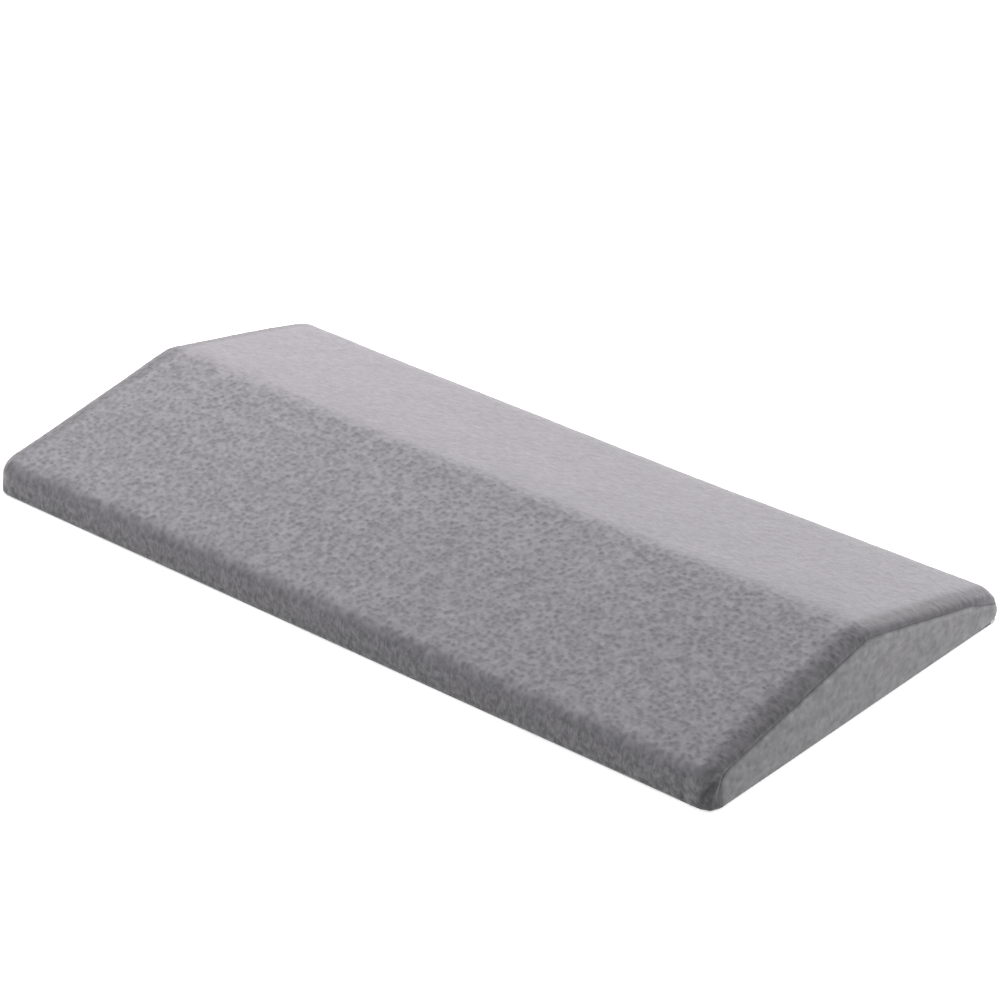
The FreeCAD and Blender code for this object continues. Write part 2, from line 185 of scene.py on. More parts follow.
# ---- noise on the cloth, from fixed random points ----
def hashed(i, j, salt):
    """Two pseudo-random numbers from 0 to 1 for each integer cell."""
    a = np.sin(i * 127.1 + j * 311.7 + salt * 74.7) * 43758.5453
    b = np.sin(i * 269.5 + j * 183.3 + salt * 246.1) * 43758.5453
    return a - np.floor(a), b - np.floor(b)


def pits(u, v, spacing, radius, salt):
    """Depth of small scattered dimples, 0 to 1, at cloth coordinates in millimetres."""
    i, j = np.floor(u / spacing), np.floor(v / spacing)
    depth = np.zeros_like(u)
    for di in (-1, 0, 1):
        for dj in (-1, 0, 1):
            a, b = hashed(i + di, j + dj, salt)
            c, d = hashed(i + di, j + dj, salt + 9)
            x, y = (i + di + 0.15 + 0.7 * a) * spacing, (j + dj + 0.15 + 0.7 * b) * spacing
            r = radius * (0.7 + 0.6 * c)
            turn = PILE_LIE + 1.8 * (d - 0.5)
            x, y, cos, sin = u - x, v - y, np.cos(turn), np.sin(turn)
            e, f = x * cos + y * sin, y * cos - x * sin
            depth = np.maximum(depth, (0.45 + 0.55 * c) * np.exp(-(e * e / 1.9 + f * f) / (r * r)))
    return depth


def waves(u, v, size, salt):
    """Smooth noise from -1 to 1."""
    x, y = u / size, v / size
    i, j = np.floor(x), np.floor(y)
    fx, fy = x - i, y - j
    fx, fy = fx * fx * (3 - 2 * fx), fy * fy * (3 - 2 * fy)
    c = [hashed(i + a, j + b, salt)[0] for a, b in ((0, 0), (1, 0), (0, 1), (1, 1))]
    return 2 * ((c[0] * (1 - fx) + c[1] * fx) * (1 - fy) + (c[2] * (1 - fx) + c[3] * fx) * fy) - 1


# ---- meshes ----
def normals(grid):
    return unit(np.cross(np.gradient(grid, axis=0), np.gradient(grid, axis=1)))


def settled(points):
    """The pad's shape with the photograph's slight dip of the ridge and the back edge."""
    x, y, z = points.T
    sag = SAG * (1 - np.clip(x / END, -1, 1) ** 2)
    sag = sag * (0.75 * step(y, -60, 0) + 0.25 * step(y, 30, 125)) * step(z, 13.5, 19.0)
    return np.column_stack([x, y, z - sag])


def linked(name, data):
    obj = bpy.data.objects.new(name, data)
    scene.collection.objects.link(obj)
    return obj


def make_object(name, verts, faces, slot, body="pad", uvs=None, attributes={}):
    """A smooth mesh that rides on a body and stands for the CAD node of its name; slot names its look."""
    mesh = bpy.data.meshes.new(name + "_made")
    mesh.from_pydata((settled(np.asarray(verts)) * MM).tolist(), [], faces)
    if uvs is not None:
        layer = mesh.uv_layers.new(name="UVMap")
        loops = np.zeros(len(mesh.loops), np.int32)
        mesh.loops.foreach_get("vertex_index", loops)
        layer.data.foreach_set("uv", np.asarray(uvs, np.float32)[loops].ravel())
    for key, values in attributes.items():
        layer = mesh.attributes.new(key, "FLOAT", "POINT")
        layer.data.foreach_set("value", np.asarray(values, np.float32))
    mesh.shade_smooth()
    mesh.validate()
    mesh.update()
    obj = linked(mesh.name, mesh)
    mesh.materials.append(LOOKS[slot])
    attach(obj, body)
    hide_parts(name)
    return obj


def relaxed(name, grid):
    """How cloth sewn along its edges moves when the filling presses on it: a short cloth
    simulation on every fourth point of a grid, smoothed back onto the whole grid."""
    coarse = grid[::SIM_STRIDE, ::SIM_STRIDE]
    nu, nv = coarse.shape[:2]
    mesh = bpy.data.meshes.new(name + "_sim")
    mesh.from_pydata((coarse.reshape(-1, 3) * MM).tolist(), [], quads(nu, nv))
    obj = linked(mesh.name, mesh)
    rim = np.zeros((nu, nv), bool)
    rim[[0, -1]], rim[:, [0, -1]] = True, True
    held = obj.vertex_groups.new(name="held")
    held.add(np.nonzero(rim.ravel())[0].tolist(), 1.0, "REPLACE")
    held.add(np.nonzero(~rim.ravel())[0].tolist(), SIM_HOLD, "REPLACE")
    cloth = obj.modifiers.new("Cloth", "CLOTH")
    for key, value in {"quality": 6, "mass": 0.15, "tension_stiffness": 8, "compression_stiffness": 8,
                       "shear_stiffness": 4, "bending_stiffness": 2.0, "vertex_group_mass": "held",
                       "shrink_min": -SIM_GROWTH, "use_pressure": True,
                       "uniform_pressure_force": SIM_PRESSURE}.items():
        setattr(cloth.settings, key, value)
    cloth.settings.effector_weights.gravity = 0
    cloth.collision_settings.use_collision = False
    cloth.point_cache.frame_start, cloth.point_cache.frame_end = 1, SIM_FRAMES
    for frame_number in range(1, SIM_FRAMES + 1):
        scene.frame_set(frame_number)
    result = obj.evaluated_get(bpy.context.evaluated_depsgraph_get()).to_mesh()
    moved = np.zeros(nu * nv * 3)
    result.vertices.foreach_get("co", moved)
    bpy.data.objects.remove(obj)
    bpy.data.meshes.remove(mesh)
    scene.frame_set(1)
    shift = moved.reshape(nu, nv, 3) / MM - coarse
    size = np.linalg.norm(shift, axis=2, keepdims=True)
    shift = shift * SIM_CAP * np.tanh(size / SIM_CAP) / np.maximum(size, 1e-9)
    i, j = np.arange(grid.shape[0]) / SIM_STRIDE, np.arange(grid.shape[1]) / SIM_STRIDE
    return spline(spline(shift, i).swapaxes(0, 1), j).swapaxes(0, 1)


def spline(values, at):
    """Smooth interpolation along the first axis, through every value."""
    k = np.clip(at.astype(int), 0, len(values) - 2)
    t = (at - k)[:, None, None]
    p = [values[np.clip(k + d, 0, len(values) - 1)] for d in (-1, 0, 1, 2)]
    return 0.5 * (2 * p[1] + (p[2] - p[0]) * t + (2 * p[0] - 5 * p[1] + 4 * p[2] - p[3]) * t ** 2
                  + (3 * p[1] - p[0] - 3 * p[2] + p[3]) * t ** 3)


def quads(nu, nv, start=0, flip=False):
    i, j = np.meshgrid(np.arange(nu - 1), np.arange(nv - 1), indexing="ij")
    a = (start + i * nv + j).ravel()
    q = np.stack([a, a + nv, a + nv + 1, a + 1], -1)
    return (q[:, ::-1] if flip else q).tolist()


def border(nu, nv):
    """Indices round a grid's edge, in order, without repeats."""
    ids = np.arange(nu * nv).reshape(nu, nv)
    return np.concatenate([ids[:-1, 0], ids[-1, :-1], ids[:0:-1, -1], ids[0, :0:-1]])


def cloth(name, outer, thick, slot, uv, attributes={}):
    """A closed sheet of the pad: an outer grid, and an inner grid with fewer cells behind it."""
    nu, nv = outer.shape[:2]
    inner = (outer - normals(outer) * thick[..., None])[::COARSE, ::COARSE]
    mu, mv = inner.shape[:2]
    verts = np.concatenate([outer.reshape(-1, 3), inner.reshape(-1, 3)])
    faces = quads(nu, nv) + quads(mu, mv, nu * nv, True)
    rim, back = border(nu, nv), border(mu, mv) + nu * nv
    for k in range(len(back)):
        a, b = back[k], back[(k + 1) % len(back)]
        run = [rim[(k * COARSE + i) % len(rim)] for i in range(COARSE + 1)]
        middle = COARSE // 2
        for i in range(COARSE):
            faces.append((run[i + 1], run[i], a if i < middle else b))
        faces.append((run[middle], a, b))
    uvs = np.concatenate([uv.reshape(-1, 2), uv[::COARSE, ::COARSE].reshape(-1, 2)])
    values = {k: np.concatenate([a.ravel(), a[::COARSE, ::COARSE].ravel()]) for k, a in attributes.items()}
    return make_object(name, verts, [tuple(map(int, f)) for f in faces], slot, "pad", uvs, values)


# ---- materials ----
LOOKS = {}  # materials by the name of their slot


class Shader:
    """A material with short ways to add and join its nodes."""

    def __init__(self, name):
        material = LOOKS[name] = bpy.data.materials.new(name)
        material.use_nodes = True
        self.tree = material.node_tree
        self.surface = self.tree.nodes["Principled BSDF"]

    def join(self, node, inputs):
        """Give a node's inputs, by name or number, values or other nodes' outputs."""
        for key, value in inputs.items():
            socket = node.inputs[key if isinstance(key, int) else key.replace("_", " ")]
            if isinstance(value, bpy.types.Node):
                value = value.outputs[0]
            if isinstance(value, bpy.types.NodeSocket):
                self.tree.links.new(value, socket)
            else:
                socket.default_value = value
        return node

    def set(self, **inputs):
        self.join(self.surface, inputs)

    def add(self, kind, settings=None, **inputs):
        node = self.tree.nodes.new("ShaderNode" + kind)
        for key, value in (settings or {}).items():
            setattr(node, key, value)
        return self.join(node, inputs)

    def math(self, operation, *values):
        return self.join(self.add("Math", {"operation": operation}), dict(enumerate(values)))

    def ramp(self, value, low, high, out_low=0.0, out_high=1.0):
        return self.add("MapRange", {"interpolation_type": "SMOOTHSTEP"}, Value=value, From_Min=low, From_Max=high,
                        To_Min=out_low, To_Max=out_high)

    def attribute(self, name):
        return self.add("Attribute", {"attribute_name": name}).outputs["Fac"]

    def shaded(self, shade, value, gain, base=1.0):
        """A shade multiplied by a value's gain over a base."""
        return self.math("MULTIPLY", shade, self.math("MULTIPLY_ADD", value, gain, base))

    def coordinates(self, scale=(1, 1, 1), turn=0.0, source="UV", kind="POINT"):
        """Texture coordinates. With kind TEXTURE a larger scale draws features out instead of in."""
        vector = self.add("TexCoord").outputs[source]
        return self.add("Mapping", {"vector_type": kind}, Vector=vector, Scale=scale, Rotation=(0, 0, turn))

    def noise(self, vector, scale, detail=2.0, rough=0.5, distortion=0.0):
        return self.add("TexNoise", Vector=vector, Scale=scale, Detail=detail, Roughness=rough,
                        Distortion=distortion).outputs["Fac"]

    def scaled(self, colour, value):
        """A colour times a value."""
        return self.add("VectorMath", {"operation": "SCALE"}, Vector=colour, Scale=value)

    def bump(self, height, distance, strength):
        return self.add("Bump", Height=height, Distance=distance, Strength=strength)


def plush(name, colour, pit, fibre, mottle, sheen, stretch, turn):
    """Short-pile plush: fine fibres lying along the nap and soft dark dimples, with painted shade and painted
    highlights read from the mesh: shade on the front face, on the rolled ends where the pile also opens at the bend,
    and along the seams; highlights on the front crest and beside the end seams.
    """
    s = Shader(name)
    lie = s.coordinates(stretch, turn, kind="TEXTURE")
    fine = s.noise(s.coordinates((1, 0.5, 1)), 1500, 3, 0.6, 0.4)
    clumps = s.noise(lie, 330, 2, 0.5, 0.6)
    blots = s.noise(lie, 150, 2, 0.5, 0.4)
    broad = s.noise(s.coordinates(), 28, 3, 0.5)
    cells = s.add("TexVoronoi", {"feature": "SMOOTH_F1"}, Vector=lie, Scale=290).outputs["Distance"]
    spot = s.math("MULTIPLY", s.ramp(cells, 0.0, 0.5, 1.0, 0.0), s.attribute("open"))
    tips = s.math("MULTIPLY", s.ramp(cells, 0.36, 0.62), s.attribute("open"))
    shade = s.math("MULTIPLY_ADD", fine, fibre, 1.0 - fibre / 2)
    shade = s.shaded(shade, clumps, mottle, 1.0 - mottle / 2)
    shade = s.shaded(shade, blots, mottle * 0.8, 1.0 - mottle * 0.4)
    shade = s.shaded(shade, broad, 0.16, 0.92)
    shade = s.shaded(shade, spot, -pit, 1.0 + pit * 0.3)
    shade = s.shaded(shade, tips, TIPS, 1.0 - TIPS * 0.3)
    shade = s.shaded(shade, s.attribute("pit"), -pit)
    # painted shade from two mesh channels, with fibre streaks: the first darkens the front face and the back strip,
    # and where negative paints a highlight on the front crest; the second darkens the rolls over the ends, where the
    # pile also opens
    for bend, along, across, amount, base in (("bend", 1.0, 0.26, 0.40, 0.29), ("painted_roll_shade", 0.25, 1.0, 0.14, 0.36)):
        fibres = s.ramp(s.noise(s.coordinates((along, across, 1)), 700, 2, 0.6), 0.35, 0.65)
        tufts = s.ramp(s.noise(s.coordinates((along, min(1.0, across * 3), 1)), 300, 2, 0.5, 0.5), 0.35, 0.65)
        streak = s.math("MULTIPLY_ADD", fibres, 0.4, s.math("MULTIPLY", tufts, 0.6))
        painted_light_amount = s.math("MULTIPLY", s.attribute(bend), s.math("MULTIPLY_ADD", streak, amount, base))
        shade = s.math("MULTIPLY", shade, s.math("SUBTRACT", 1.0, painted_light_amount))
    # painted shade along the seams and in the corner creases; where negative, a painted highlight beside the end
    # seams
    shade = s.shaded(shade, s.attribute("painted_groove_light"), -0.6)
    height = s.math("ADD", s.math("MULTIPLY", fine, 0.25), s.math("MULTIPLY", clumps, 0.75))
    height = s.math("SUBTRACT", height, s.math("MULTIPLY", spot, 0.5))
    s.set(Base_Color=s.scaled(colour, shade), Roughness=0.95, Normal=s.bump(height, 0.00055, 0.7),
          Sheen_Weight=sheen, Sheen_Roughness=0.45, Sheen_Tint=(0.95, 0.93, 0.95, 1), Specular_IOR_Level=0.15)


def woven(name, colour, pitch, sheen=0.2, rough=0.85, contrast=0.35):
    """Plain weave of warp and weft threads."""
    s = Shader(name)
    turns = math.tau / pitch
    uv = s.add("SeparateXYZ", Vector=s.coordinates())
    warp, weft = [s.math("SINE", s.math("MULTIPLY", uv.outputs[i], turns)) for i in (0, 1)]
    weave = s.math("MULTIPLY_ADD", s.math("MULTIPLY", warp, weft), 0.5, 0.5)
    fuzz = s.noise(s.coordinates(), 2200, 3)
    slubs = s.math("ADD", *[s.noise(s.coordinates(scale), 420, 2) for scale in ((1, 0.03, 1), (0.03, 1, 1))])
    shade = s.math("MULTIPLY_ADD", weave, contrast, 1.0 - contrast / 2)
    shade = s.shaded(shade, fuzz, 0.2, 0.9)
    shade = s.shaded(shade, slubs, 0.45, 0.55)
    relief = s.bump(s.math("ADD", weave, s.math("MULTIPLY", fuzz, 0.3)), pitch * 0.25, 0.7)
    s.set(Base_Color=s.scaled(colour, shade), Roughness=rough, Normal=relief, Sheen_Weight=sheen,
          Sheen_Roughness=0.5)


def spun(name, colour):
    """Twisted thread."""
    s = Shader(name)
    vector = s.coordinates(turn=0.7, source="Object")
    ply = s.add("TexWave", {"wave_type": "BANDS"}, Vector=vector, Scale=900, Distortion=1.0).outputs["Fac"]
    shade = s.math("MULTIPLY_ADD", ply, 0.4, 0.8)
    s.set(Base_Color=s.scaled(colour, shade), Roughness=0.7, Sheen_Weight=0.3, Normal=s.bump(ply, 0.0001, 0.6))


def moulded(name, colour, rough, metal=0.0, grain=900, coat=0.0):
    """Enamelled or moulded hard surface with slight unevenness."""
    s = Shader(name)
    speck = s.noise(s.coordinates(source="Object"), grain, 4)
    shade = s.math("MULTIPLY_ADD", speck, 0.25, 0.88)
    s.set(Base_Color=s.scaled(colour, shade), Roughness=s.ramp(speck, 0.3, 0.7, rough * 0.85, rough * 1.2),
          Metallic=metal, Coat_Weight=coat, Normal=s.bump(speck, 0.00004, 0.4))


def cellular(name, colour):
    """Open-cell foam."""
    s = Shader(name)
    vector = s.coordinates(source="Object")
    cells = s.add("TexVoronoi", {"feature": "F1"}, Vector=vector, Scale=900).outputs["Distance"]
    shade = s.shaded(s.ramp(cells, 0.0, 0.5, 0.72, 1.0), s.noise(vector, 30, 3), 0.12, 0.94)
    s.set(Base_Color=s.scaled(colour, shade), Roughness=0.95, Normal=s.bump(cells, 0.0005, 0.8),
          Subsurface_Weight=0.1)


plush("plush_top", (0.260, 0.254, 0.271), 0.23, 0.10, 0.34, 0.55, (1.22, 0.92, 1), PILE_LIE)
plush("plush_end", (0.194, 0.191, 0.198), 0.14, 0.20, 0.60, 0.35, (1.6, 1.25, 1), 0.0)
woven("base_cloth", (0.20, 0.20, 0.205), 0.0009)
woven("zipper_tape", (0.12, 0.12, 0.125), 0.0006, 0.1)
woven("liner", (0.72, 0.72, 0.72), 0.0011, 0.2)
woven("label", (0.85, 0.85, 0.85), 0.0004, 0.1, 0.5, 0.1)
spun("thread_grey", (0.12, 0.12, 0.125))
spun("thread_light", (0.75, 0.75, 0.75))
moulded("zipper_coil", (0.11, 0.11, 0.115), 0.35, grain=500)
moulded("stop_metal", (0.30, 0.30, 0.31), 0.45, 1.0)
moulded("slider_metal", (0.13, 0.13, 0.135), 0.3, coat=0.5)
cellular("foam", (0.86, 0.83, 0.72))


# ---- top panel ----
def symmetric(total, fine, coarse, reach, cells):
    """Positions from 0 to total, finer near both ends, in a given number of cells."""
    half = spread(total / 2, fine, coarse, reach)
    whole = np.concatenate([half, total - half[-2::-1]])
    return np.interp(np.linspace(0, len(whole) - 1, cells + 1), np.arange(len(whole)), whole)


def tuck(distance, depth, width):
    """How far cloth is drawn in at a distance from its edge."""
    return -depth * np.exp(-(distance / width) ** 1.2)


def swell(distance, height, place, width):
    return height * np.exp(-((distance - place) / width) ** 2)


def seam_match():
    """Profile lengths and the seam lengths they run to."""
    pairs = [(0, 0), (length_at(PROFILE, 1, 7.0), length_at(SEAM, 1, 7.0)),
             (nearest(PROFILE, (FRONT, FRONT_Z)), nearest(SEAM, (SEAM_Y, seam_z(SEAM_Y))))]
    for y in (-118, -100, -60, -20, RIDGE_Y, 50, 90, 112):
        shift = 0.9 if y < RIDGE_Y else -1.4 if y > RIDGE_Y else -0.3
        pairs.append((length_at(PROFILE, 0, y), length_at(SEAM, 0, y + shift)))
    pairs += [(nearest(PROFILE, (BACK, BACK_Z)), length_at(SEAM, 0, 134.5)), (span(PROFILE), span(SEAM))]
    return zip(*pairs)


def top_panel():
    """Front face, both slopes and back lip in one piece, with its rolls over the ends."""
    roll_cells, flat_cells, up_cells = 14, 392, 220
    total = span(PROFILE)
    along = symmetric(total, 0.7, CELL, 8.0, up_cells)
    knots_p, knots_s = seam_match()
    centre, seam = at_length(PROFILE, along), at_length(SEAM, monotone(along, knots_p, knots_s))
    inward = seam - centre
    reach_in = np.interp(along, [0, 16, 30, 60, 180, total - 34, total - 10, total], [11, 11, 15, 18, 18, 17, 16, 13])
    sweep = math.radians(78)
    start = foot_print(seam[:, 0]) - LEAN * seam[:, 1] - reach_in * math.sin(sweep)
    # the cloth rolls over the end on an arc that closes on the seam
    w = spread(1.0, 0.045, 0.12, 1.0)
    w = 1 - np.interp(np.linspace(0, len(w) - 1, roll_cells + 1), np.arange(len(w)), w)
    phi = w[:, None] * sweep
    fall = (1 - np.cos(phi)) / (1 - math.cos(sweep))
    right = np.stack([start + reach_in * np.sin(phi), *(centre.T[:, None] + inward.T[:, None] * fall)], -1)
    steps = np.linalg.norm(np.diff(right[::-1], axis=0), axis=2)
    arc = np.concatenate([np.cumsum(steps, axis=0)[::-1], np.zeros((1, len(along)))])
    right_u = start + arc
    k = np.linspace(-1, 1, flat_cells + 1)[1:-1, None]
    flat = np.stack(np.broadcast_arrays(k * start, *centre.T), -1)
    grid = np.concatenate([right * MIRROR, flat, right[::-1]])
    u = np.concatenate([-right_u, k * start, right_u[::-1]])
    v = np.broadcast_to(along, u.shape)
    to_seam = (start + arc[0])[None] - np.abs(u)
    in_roll = np.clip((np.abs(u) - start) / arc[0], 0, 1)
    up = normals(grid)
    calm = 1 - np.exp(-to_seam / 6)
    ridge = length_at(PROFILE, 0, RIDGE_Y)
    on_back = step(v + 1.5 * waves(u, v, 4.0, 7), ridge - 5, ridge + 9)
    on_front = step(v + 1.8 * waves(u, v * 0.5, 3.5, 8), 26.5, 17.0)
    pit_depth = pits(u, v, 4.1, 1.15, 3)
    pit_size = 0.30 - 0.24 * on_back - 0.24 * on_front
    # broad dents, dimples and tufts
    lift = calm * (0.30 * waves(u, v, 62, 1) + 0.14 * waves(u, v, 23, 2))
    lift += calm * (-pit_size * pit_depth + 0.10 * waves(u, v, 3.1, 5) + 0.05 * waves(u * 0.6, v, 1.6, 6))
    lift += 0.22 * on_front * waves(u, v * 0.45, 3.4, 9)
    lift += in_roll * 0.18 * waves(u * 0.4, v, 2.6, 10)
    # puckers where the cloth turns the front corners
    corner = step(v, 30, 16) * (0.25 + 0.75 * step(u, -100, 100))
    inner, outer = 14.0 - 0.45 * v, 24.5 + 0.05 * v
    crease = swell(to_seam, 1.4, inner, 2.2) + 0.7 * step(v, 28, 20) * swell(to_seam, 1, outer, 2.6)
    puffs = swell(to_seam, 0.9, inner * 0.48, 2.2) + swell(to_seam, 0.7, (inner + outer) / 2, 3.0)
    lift += corner * puffs
    lift -= corner * crease
    # drawn in along the seams
    hollow = np.interp(along, [0, ridge, ridge + 50, total], [1.9, 1.7, 1.1, 0.9])
    rear = step(v, total - 34, total - 12)
    low = step(v, 26, 14)
    lift += tuck(to_seam, 1.0, 1.3) * hollow * (1 - 0.8 * rear) * (1 - 0.5 * low) + swell(to_seam, 0.4, 6, 3.5)
    lift += tuck(v, 0.35, 0.6) + tuck(total - v, 0.5, 0.7) - swell(total - v, 0.3, 1.6, 0.7)
    crown = relaxed("top", grid) * (step(to_seam, 1, 9) * step(v, 1, 8) * step(total - v, 2, 9))[..., None]
    grid = grid + crown + up * lift[..., None]
    grid[..., 2] = np.maximum(grid[..., 2], FOOT - 0.3)
    attributes = {
        "pit": pit_depth * (1 - 0.8 * on_back) * (1 - 0.85 * on_front) * calm,
        # painted shade on the front face, deeper near its foot and weaker on the rolls; the negative part is a
        # painted highlight along the front crest
        "bend": (on_front * (FRONT_PAINTED_SHADE + 0.2 * step(v, 16, 2)) * (1 - 0.3 * step(in_roll, 0.1, 0.5))
                 - 0.10 * swell(v, 1, 33, 7.0) * (1 - step(in_roll, 0, 0.3))),
        # painted shade on the rolls over the ends, where the pile also opens at the bend; a little weaker at the rear
        "painted_roll_shade": step(in_roll + 0.06 * waves(u, v, 4, 14), -0.15, 0.45) * (1 - 0.10 * rear),
        # painted shade along the end seams, wider lower down and weaker at the rear, and in the creases at the front
        # corners
        "painted_groove_light": np.maximum(np.exp(-to_seam / (1.8 + 1.5 * low)) * (1 - 0.5 * rear), 0.46 * corner * crease),
        "open": (1 - 0.85 * on_back) * (1 - 0.7 * on_front),
    }
    thick = np.minimum(np.clip(0.8 + to_seam * 0.2, 0.8, 1.6), 1.15 + 0.05 * (total - v))
    panel = cloth("cover_top_panel", grid, thick, "plush_top", np.stack([u, v], -1) * MM, attributes)
    return panel, (2 * float(np.median(start + arc[0])) * MM, total * MM)


# ---- end panels ----
def foot_print(y):
    """Half length of the pad's outline at a distance along Y."""
    over = np.clip(np.abs(y) - (BACK - CORNER), 0, CORNER)
    return END - CORNER + np.sqrt(CORNER ** 2 - over ** 2)


def facing(plan):
    """Unit vectors that point out of the pad's outline, at points on it."""
    room = np.array([END - CORNER, BACK - CORNER])
    return unit(plan - np.clip(plan, -room, room))


def end_columns():
    """Plan position, outward normal and top of each upright line of the right end panel."""
    begin = length_at(SEAM, 0, SEAM_Y + 0.05)
    s = np.concatenate([begin + spread(60, 0.5, CELL, 10), [0]])[:-1]
    s = np.concatenate([s, np.arange(s[-1] + CELL, span(SEAM) - 0.5, CELL), [span(SEAM)]])
    yz = at_length(SEAM, s)
    turn = np.arcsin((yz[-1, 0] - (BACK - CORNER)) / CORNER)
    bend = np.linspace(turn, math.pi / 2, 9)[1:]
    arc = np.stack([END - CORNER + CORNER * np.cos(bend), BACK - CORNER + CORNER * np.sin(bend)], -1)
    straight = np.stack([np.linspace(END - CORNER, ZIP_HALF, 19)[1:], np.full(18, BACK)], -1)
    plan = np.concatenate([np.stack([foot_print(yz[:, 0]), yz[:, 0]], -1), arc, straight])
    top = np.concatenate([yz[:, 1], np.full(len(arc) + len(straight), LIP_TOP)])
    run = np.concatenate([s, s[-1] + np.cumsum(np.linalg.norm(np.diff(plan[len(s) - 1:], axis=0), axis=1))])
    return plan, facing(plan), top, run


def end_panel(side):
    """One end of the cover, from the front corner round to the zipper; the left one is mirrored."""
    plan, out, top, run = end_columns()
    index = np.linspace(0, len(run) - 1, len(run) + (1 - len(run)) % COARSE)
    take = lambda a: np.stack([np.interp(index, np.arange(len(a)), c) for c in np.atleast_2d(a.T)], -1)
    plan, out, top, run = take(plan), unit(take(out)), take(top)[:, 0], take(run)[:, 0]
    w = symmetric(1.0, 0.012, 0.045, 0.2, 32)
    z = FOOT + (top[:, None] - 0.15 - FOOT) * w[None]
    x = plan[:, 0:1] - LEAN * z * out[:, 0:1]
    grid = np.stack([x, np.broadcast_to(plan[:, 1:2], z.shape), z], -1)
    on_side = (plan[:, 1:2] < 142) & (plan[:, 0:1] > 290)
    flat = grid[..., 1:].reshape(-1, 2)
    marks = at_length(SEAM, np.arange(0, span(SEAM), 1.0))
    near = np.min(np.linalg.norm(flat[:, None] - marks[None], axis=2), axis=1)
    to_seam = np.where(on_side, np.minimum(near.reshape(z.shape), top[:, None] - z), top[:, None] - z)
    to_end = (run[-1] - run)[:, None]
    u, v = np.broadcast_to(run[:, None], z.shape), z
    up = np.concatenate([np.broadcast_to(out[:, None], z.shape + (2,)), np.zeros(z.shape + (1,))], -1)
    height = np.clip((top[:, None] - FOOT) / 40, 0, 1) * step(to_end, 8, 40)
    lift = 0.4 * height * np.sin(np.pi * np.clip(w, 0, 1))[None] ** 0.8
    lift = lift + 0.22 * step(to_end, 0, 20) * waves(u, v, 34, 11) + 0.06 * waves(u, v, 2.6, 12)
    from_front = u - run[0]
    pucker = step(v, 24, 10) * step(from_front, 16, 8)
    lift += pucker * (swell(from_front, -0.8, 5.5, 1.6) + swell(from_front, 0.3, 10.0, 2.5))
    rear = step(plan[:, 1], 112, 138)[:, None] * step(to_end, 4, 26)
    lift += rear * (1.2 * np.sin(np.pi * w[None]) + 0.3 * w[None] - 0.7 * (1 - w[None]) ** 2)
    hollow = np.interp(plan[:, 1], [-150, 15, 70, 150], [1.9, 1.7, 1.1, 0.9])[:, None]
    lift += tuck(to_seam, 1.0, 0.9) * hollow * (1 - 0.85 * rear) + tuck(z - FOOT, 0.35, 0.6) + tuck(to_end, 0.6, 0.8)
    crown = relaxed(side, grid) * (step(to_seam, 1, 6) * step(to_end, 2, 9) * step(z - FOOT, 0.5, 5))[..., None]
    grid = grid + crown + up * lift[..., None]
    # painted shade along the seam and in the pucker at the front corner; the line below paints a highlight on the lip
    # beside the seam, faded out near the front
    painted_groove_light = np.maximum(np.exp(-to_seam / 0.5) * (1 - 0.5 * rear), 0.30 * pucker * swell(from_front, 1, 5.5, 1.6))
    painted_groove_light -= 0.2 * step(from_front, 8, 18) * swell(to_seam, 1, 2.4, 1.2)
    attributes = {"pit": pits(u, v, 4.6, 1.1, 21), "painted_groove_light": painted_groove_light, "open": np.full_like(u, 0.6)}
    thick = np.clip(0.8 + to_seam * 0.15, 0.8, 1.3)
    if side == "left":
        grid = grid[::-1] * MIRROR
        u, v, thick = u[::-1], v[::-1], thick[::-1]
        attributes = {k: a[::-1] for k, a in attributes.items()}
    panel = cloth("cover_end_panel_" + side, grid, thick, "plush_end", np.stack([u, v], -1) * MM, attributes)
    area = float(np.trapz(top - FOOT, run)) * MM * MM
    return panel, (float(run[-1] - run[0]) * MM, float(top.max() - FOOT) * MM), area


# ---- threads, rings and plates ----
def tube(path, away, radius, sides=6, closed=False, squash=1.0):
    """Vertices and faces of a thread along a path; away gives the side that squash flattens."""
    path = np.asarray(path, float)
    tangent = unit(np.roll(path, -1, 0) - np.roll(path, 1, 0) if closed else np.gradient(path, axis=0))
    away = np.broadcast_to(np.asarray(away, float), path.shape)
    out = unit(away - (away * tangent).sum(-1, keepdims=True) * tangent)
    side = np.cross(tangent, out)
    a = np.arange(sides) / sides * math.tau
    r = np.broadcast_to(radius, len(path))[:, None, None]
    cos, sin = np.cos(a)[None, :, None], np.sin(a)[None, :, None]
    return ring_mesh(path[:, None] + r * (cos * out[:, None] * squash + sin * side[:, None]), closed)


def ring_mesh(rings, closed=False, caps=True):
    """Vertices and faces joining rings of points; the rings run clockwise seen along the path."""
    n, m = rings.shape[:2]
    i, j = np.meshgrid(np.arange(n if closed else n - 1), np.arange(m), indexing="ij")
    a, b = (i * m + j).ravel(), (i * m + (j + 1) % m).ravel()
    c, d = ((i + 1) % n * m + (j + 1) % m).ravel(), ((i + 1) % n * m + j).ravel()
    faces = np.stack([a, b, c, d], -1).tolist()
    if caps and not closed:
        faces.append(list(range(m))[::-1])
        faces.append(list(range((n - 1) * m, n * m)))
    return rings.reshape(-1, 3), faces


def joined(parts):
    """Several meshes as one."""
    verts, faces, start = [], [], 0
    for v, f in parts:
        verts.append(v)
        faces += [[k + start for k in face] for face in f]
        start += len(v)
    return np.concatenate(verts), faces


def piece(name, mesh, slot, body="pad"):
    """An object whose faces are all turned outward."""
    obj = make_object(name, *mesh, slot, body)
    bm = bmesh.new()
    bm.from_mesh(obj.data)
    bmesh.ops.recalc_face_normals(bm, faces=bm.faces)
    bm.to_mesh(obj.data)
    bm.free()
    return obj


